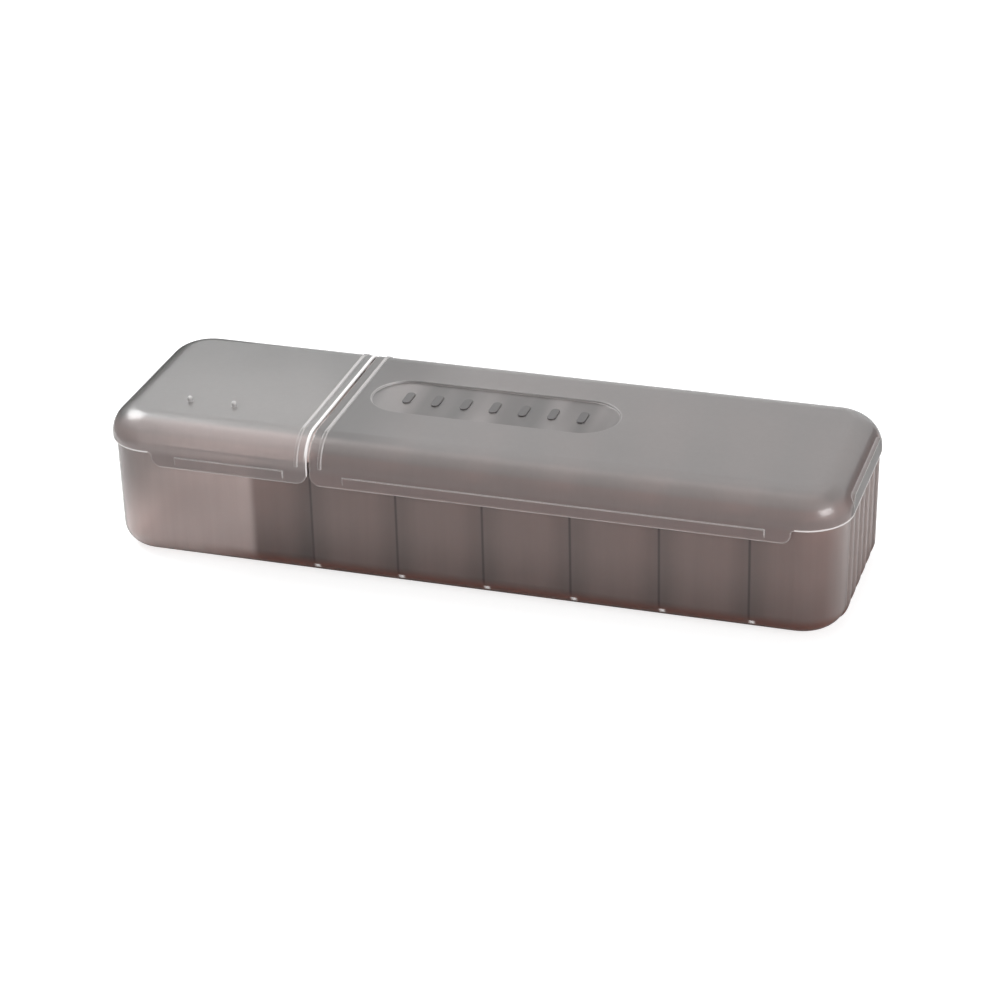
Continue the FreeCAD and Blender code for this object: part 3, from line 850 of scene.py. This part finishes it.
tray_plastic = smoky_plastic(
    "smoky_tray_plastic", TRAY_TINT, roughness=0.32, clearness=0.82, marked=0.09,
    tinted=tray_tint, dulled=foot_area, raised=tray_highlights)
short_lid_plastic = smoky_plastic(
    "short_lid_plastic", SHORT_LID_TINT, roughness=0.35, clearness=0.75, coat_roughness=0.17,
    tinted=short_lid_tint, raised=short_lid_highlights)
long_lid_plastic = smoky_plastic(
    "long_lid_plastic", LONG_LID_TINT, roughness=0.35, clearness=0.75,
    tinted=long_lid_tint, polished=label_area, dulled=end_flat_area, raised=long_lid_highlights)
bar_plastic = smoky_plastic("bar_plastic", BAR_TINT, roughness=0.33, clearness=0.6, painted_edge_tint=BAR_TINT)
divider_plastic = smoky_plastic(
    "smoky_divider_plastic", DIVIDER_TINT, roughness=0.32, clearness=0.6, marked=0.12,
    painted_edge_tint=DIVIDER_EDGE_SHADE_TINT)
pin_plastic = smoky_plastic("hinge_pin_plastic", PIN_TINT, roughness=0.35, clearness=0.3)


# %% [markdown]
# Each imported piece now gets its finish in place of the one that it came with. The hinge pins and the
# dividers could be named one by one, but each kind wears one plastic, so a part of the name is enough to
# find them.

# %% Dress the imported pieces
def dress(name, material):
    """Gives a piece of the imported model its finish."""
    mesh = nodes[name].data
    mesh.materials.clear()
    mesh.materials.append(material)
    print(name, "wears", material.name)


dress("tray", tray_plastic)
dress("small_lid", short_lid_plastic)
dress("large_lid", long_lid_plastic)
for name in nodes:
    if "pin" in name:
        dress(name, pin_plastic)
    elif "divider" in name:
        dress(name, divider_plastic)

# %% [markdown]
# A row of plain raised bars fills the sunk place. They are all alike, so Geometry Nodes make them. One bar
# is a rectangle with its corners rounded until the ends are nearly half circles. It is filled, lifted, and
# closed underneath by its own flipped sheet. A bevelled cube would do too, but here the rounding follows
# the width by itself.

# %% One bar of the label place
BAR_ROUNDING = 0.49
ROUNDING_STEPS = 8
WELD_DISTANCE = 0.001 * MM


def one_bar(tree, sizes):
    """A bar with round ends: the lifted top with its sides, and the underside."""
    link = tree.links.new
    outline = make_node(tree, "GeometryNodeCurvePrimitiveQuadrilateral")
    link(sizes["Width"], outline.inputs["Width"])
    link(sizes["Depth"], outline.inputs["Height"])
    rounded = make_node(tree, "GeometryNodeFilletCurve", {"Count": ROUNDING_STEPS}, mode="POLY")
    link(outline.outputs["Curve"], rounded.inputs["Curve"])
    link(combine(tree, "MULTIPLY", sizes["Width"], BAR_ROUNDING), rounded.inputs["Radius"])
    sheet = make_node(tree, "GeometryNodeFillCurve", mode="NGONS")
    link(rounded.outputs["Curve"], sheet.inputs["Curve"])

    lift = make_node(tree, "ShaderNodeCombineXYZ")
    link(sizes["Height"], lift.inputs["Z"])
    raised = make_node(tree, "GeometryNodeExtrudeMesh", {"Offset Scale": 1.0, "Individual": False})
    link(sheet.outputs["Mesh"], raised.inputs["Mesh"])
    link(lift.outputs["Vector"], raised.inputs["Offset"])
    under = make_node(tree, "GeometryNodeFlipFaces")
    link(sheet.outputs["Mesh"], under.inputs["Mesh"])
    whole = make_node(tree, "GeometryNodeJoinGeometry")
    link(raised.outputs["Mesh"], whole.inputs["Geometry"])
    link(under.outputs["Mesh"], whole.inputs["Geometry"])
    bar = make_node(tree, "GeometryNodeMergeByDistance", {"Distance": WELD_DISTANCE})
    link(whole.outputs["Geometry"], bar.inputs["Geometry"])
    return bar.outputs["Geometry"]


print("each corner of a bar is rounded in", ROUNDING_STEPS, "steps")


# %% [markdown]
# The row is a line of points that carries a bar on each. Placing the bars by hand would work too, but
# every new count or pitch would mean placing them again, and here both are inputs of the tree. Realize
# Instances turns the copies into faces of their own, which the export needs, and Set Material gives them
# their plastic.

# %% The row of bars
def bar_row_tree():
    """Node tree of a row of equal bars along X, and the name that each of its inputs is set by."""
    tree = bpy.data.node_groups.new("bar_row", "GeometryNodeTree")
    sockets = {}
    for title, kind in (
        ("Count", "NodeSocketInt"), ("Pitch", "NodeSocketFloat"), ("Width", "NodeSocketFloat"),
        ("Depth", "NodeSocketFloat"), ("Height", "NodeSocketFloat"), ("Finish", "NodeSocketMaterial"),
    ):
        sockets[title] = tree.interface.new_socket(title, in_out="INPUT", socket_type=kind).identifier
    tree.interface.new_socket("Geometry", in_out="OUTPUT", socket_type="NodeSocketGeometry")
    sizes = make_node(tree, "NodeGroupInput").outputs
    link = tree.links.new

    step = make_node(tree, "ShaderNodeCombineXYZ")
    link(sizes["Pitch"], step.inputs["X"])
    row = make_node(tree, "GeometryNodeMeshLine")
    link(sizes["Count"], row.inputs["Count"])
    link(step.outputs["Vector"], row.inputs["Offset"])
    copies = make_node(tree, "GeometryNodeInstanceOnPoints")
    link(row.outputs["Mesh"], copies.inputs["Points"])
    link(one_bar(tree, sizes), copies.inputs["Instance"])
    solid = make_node(tree, "GeometryNodeRealizeInstances")
    link(copies.outputs["Instances"], solid.inputs["Geometry"])
    finish = make_node(tree, "GeometryNodeSetMaterial")
    link(solid.outputs["Geometry"], finish.inputs["Geometry"])
    link(sizes["Finish"], finish.inputs["Material"])
    link(finish.outputs["Geometry"], make_node(tree, "NodeGroupOutput").inputs["Geometry"])
    return tree, sockets


row_tree, row_inputs = bar_row_tree()
print("inputs of the row:", ", ".join(row_inputs))

# %% [markdown]
# A modifier runs the tree with the sizes of this row. It could stay live on the piece, but a finished
# piece is a plain mesh with its place in the mesh itself. So the result is copied into a new mesh, moved
# to the floor of the label place, a little into it so that no gap shows, and the object that made it is
# removed.

# %% Label bars
BAR_COUNT = 7
BAR_PITCH = 10.8 * MM
BAR_WIDTH = 3.0 * MM
BAR_DEPTH = 8.6 * MM
BAR_HEIGHT = 0.45 * MM
BAR_FOOT = 0.1 * MM

maker = add_object("bar_row_maker", bpy.data.meshes.new("bar_row_maker"))
modifier = maker.modifiers.new("bars", "NODES")
modifier.node_group = row_tree
for title, value in (
    ("Count", BAR_COUNT), ("Pitch", BAR_PITCH), ("Width", BAR_WIDTH),
    ("Depth", BAR_DEPTH), ("Height", BAR_HEIGHT), ("Finish", bar_plastic),
):
    modifier[row_inputs[title]] = value

made = bpy.data.meshes.new_from_object(maker.evaluated_get(bpy.context.evaluated_depsgraph_get()))
bpy.data.objects.remove(maker)
row_start = Vector((
    -BAR_PITCH * (BAR_COUNT - 1) / 2,
    LABEL_BEHIND_MIDDLE,
    lid_top - LABEL_SINK - BAR_FOOT,
))
made.transform(Matrix.Translation(row_start))
bars = add_object("label_bars", made)
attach(bars, "large_lid")
print("label bars:", BAR_COUNT, "with", len(made.polygons), "faces")

# %% [markdown]
# Clear plastic shows mostly what stands around it, so the surround matters as much as the lamps. A strong
# lamp could whiten a floor, but it would bleach the box. Light Path tells what a ray is for, so a thing
# can have one look for the rays that show it and a plainer one for the rays that only light the box.

# %% Looks by kind of ray
WHITE = (1.0, 1.0, 1.0, 1.0)


def either_ray(tree, *kinds):
    """1 for rays of any of these kinds."""
    path = make_node(tree, "ShaderNodeLightPath")
    return any_of(tree, *(path.outputs[kind] for kind in kinds))


def shown_to(tree, rays, shown, other):
    """The first shader for these rays, and the other one for all the rest."""
    pick = make_node(tree, "ShaderNodeMixShader")
    tree.links.new(rays, pick.inputs["Fac"])
    tree.links.new(other.outputs[0], pick.inputs[1])
    tree.links.new(shown.outputs[0], pick.inputs[2])
    return pick.outputs[0]


print("white is", WHITE[:3])

# %% [markdown]
# Straight to the eye the floor is a grey paint with a glow added: the glow makes it white, and the paint
# keeps the soft shadow under the box. All other rays meet a plain pale paint without a glow.

# %% Floor
FLOOR_SIZE = 6.0
FLOOR_DROP = 0.2 * MM
PALE_PAINT = (0.80, 0.80, 0.80, 1.0)
GREY_PAINT = (0.42, 0.42, 0.42, 1.0)
FLOOR_GLOW = 0.76

half = FLOOR_SIZE / 2
floor_mesh = bpy.data.meshes.new("studio_floor")
floor_mesh.from_pydata(
    [(-half, -half, 0), (half, -half, 0), (half, half, 0), (-half, half, 0)], [], [(0, 1, 2, 3)])
floor = add_object("studio_floor", floor_mesh)
floor.location.z = -FLOOR_DROP
floor_paint, tree, output = fresh_material("floor_paint")
plain_floor = make_node(tree, "ShaderNodeBsdfDiffuse", {"Color": PALE_PAINT})
grey_floor = make_node(tree, "ShaderNodeBsdfDiffuse", {"Color": GREY_PAINT})
glow = make_node(tree, "ShaderNodeEmission", {"Color": WHITE, "Strength": FLOOR_GLOW})
white_floor = make_node(tree, "ShaderNodeAddShader")
tree.links.new(grey_floor.outputs[0], white_floor.inputs[0])
tree.links.new(glow.outputs[0], white_floor.inputs[1])
floor_look = shown_to(tree, either_ray(tree, "Is Camera Ray"), white_floor, plain_floor)
tree.links.new(floor_look, output.inputs["Surface"])
floor_mesh.materials.append(floor_paint)
print("floor lies", round(FLOOR_DROP / MM, 2), "mm below the box")

# %% [markdown]
# The surround is white where it is seen, mirrored or looked at through the plastic, and half as bright
# where it only lights the box. A picture of a studio could do the same, but plain white keeps the
# reflections calm.

# %% Surround
SKY_SEEN = 1.0
SKY_LIGHT = 0.5

world = bpy.data.worlds.new("studio_surround")
bpy.context.scene.world = world
world.use_nodes = True
sky = world.node_tree
sky.nodes.clear()
seen = make_node(sky, "ShaderNodeBackground", {"Color": WHITE, "Strength": SKY_SEEN})
light = make_node(sky, "ShaderNodeBackground", {"Color": WHITE, "Strength": SKY_LIGHT})
world_output = make_node(sky, "ShaderNodeOutputWorld")
seen_rays = either_ray(sky, "Is Camera Ray", "Is Glossy Ray", "Is Transmission Ray")
sky.links.new(shown_to(sky, seen_rays, seen, light), world_output.inputs["Surface"])
print("the surround looks", SKY_SEEN, "bright and lights the box with", SKY_LIGHT)

# %% [markdown]
# Lamps can be dragged about by hand, but two angles are easier to note and to change. Each lamp is placed
# by the direction it shines from, seen from the box: a turn about the upright axis, where 0 is the front
# and 90 the right side, and a height angle. Its brightness is that of its own face, so a lamp can grow or
# move away without changing how bright it looks in a reflection.

# %% Lamps
BOX_MIDDLE = (0, 0, 0.03)
LEFT_CORNER = (-0.12, -0.03, 0.05)
RIGHT_CORNER = (0.12, -0.03, 0.05)


def softbox(name, turn, rise, distance, width, height, brightness, look_at=BOX_MIDDLE, shape="RECTANGLE"):
    """A flat soft lamp that faces a point."""
    way = direction(turn, rise)
    data = bpy.data.lights.new(name, "AREA")
    data.shape = shape
    data.size = width
    data.size_y = height
    data.energy = brightness * math.pi * width * height
    lamp = add_object(name, data)
    lamp.location = Vector(look_at) + way * distance
    lamp.rotation_euler = (-way).to_track_quat("-Z", "Y").to_euler()
    print(name, "gives", round(data.energy, 2), "W")


softbox("overhead_softbox", turn=195, rise=72, distance=1.15, width=1.4, height=1.1, brightness=0.7)
softbox("back_left_wall", turn=218, rise=28, distance=1.5, width=0.8, height=0.7, brightness=0.5)
softbox(
    "left_softbox", turn=246, rise=45, distance=1.2, width=0.70, height=0.70, brightness=8.0,
    look_at=LEFT_CORNER, shape="ELLIPSE")
softbox(
    "right_softbox", turn=65, rise=22, distance=1.2, width=0.62, height=0.44, brightness=9.0,
    look_at=RIGHT_CORNER)

# %% [markdown]
# A clear thing on a white ground loses its outline. A darker floor would give it back but spoil the white.
# So two dark cards stand beside the box: only mirrored and transmitted light meets them, and they darken
# the slanting edges and throw no shadow.

# %% Dark cards
CARD_BLACK = (0.02, 0.02, 0.02, 1.0)
CARD_BACK = 0.45

card_paint, tree, output = fresh_material("dark_card_paint")
black = make_node(tree, "ShaderNodeBsdfDiffuse", {"Color": CARD_BLACK})
tree.links.new(black.outputs[0], output.inputs["Surface"])


def dark_card(name, x, front, height):
    """An upright card beside the box, from its front edge to the back that both cards share."""
    corners = [(x, front, 0), (x, CARD_BACK, 0), (x, CARD_BACK, height), (x, front, height)]
    mesh = bpy.data.meshes.new(name)
    mesh.from_pydata(corners, [], [(0, 1, 2, 3)])
    mesh.materials.append(card_paint)
    card = add_object(name, mesh)
    card.visible_camera = False
    card.visible_diffuse = False
    card.visible_shadow = False
    print(name, "is", round(CARD_BACK - front, 2), "m long and", height, "m high")


dark_card("left_card", x=-0.26, front=-0.25, height=0.14)
dark_card("right_card", x=0.26, front=0.05, height=0.10)

# %% [markdown]
# A film-like view bends bright colours and greys a white ground. The Standard view shows a colour as it is
# written, so it is the one that this picture needs.

# %% View settings
bpy.context.scene.view_settings.view_transform = "Standard"
print("view:", bpy.context.scene.view_settings.view_transform)
